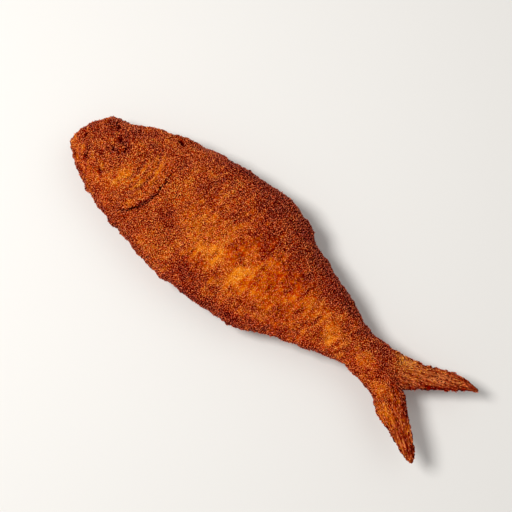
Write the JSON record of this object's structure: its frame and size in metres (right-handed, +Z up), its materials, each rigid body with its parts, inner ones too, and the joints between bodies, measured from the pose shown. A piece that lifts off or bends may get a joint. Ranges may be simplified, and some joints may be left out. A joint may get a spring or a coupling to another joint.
{
  "type": "semolina-fried ladyfish",
  "caption": "Whole small fish fried in a coarse semolina crust, lying on its flank, with head, gill slit and forked tail.",
  "frame": {"origin": "on the floor under the middle of the fish's box", "axes": "+X from the snout to the tail, +Y from the belly to the back, +Z up through the two flanks"},
  "size_m": [0.22, 0.065, 0.0298],
  "materials": {
    "semolina_crust": "rough golden to dark brown fried crust"
  },
  "bodies": {
    "root": {"fried_fish": "semolina_crust"}
  },
  "joints": []
}
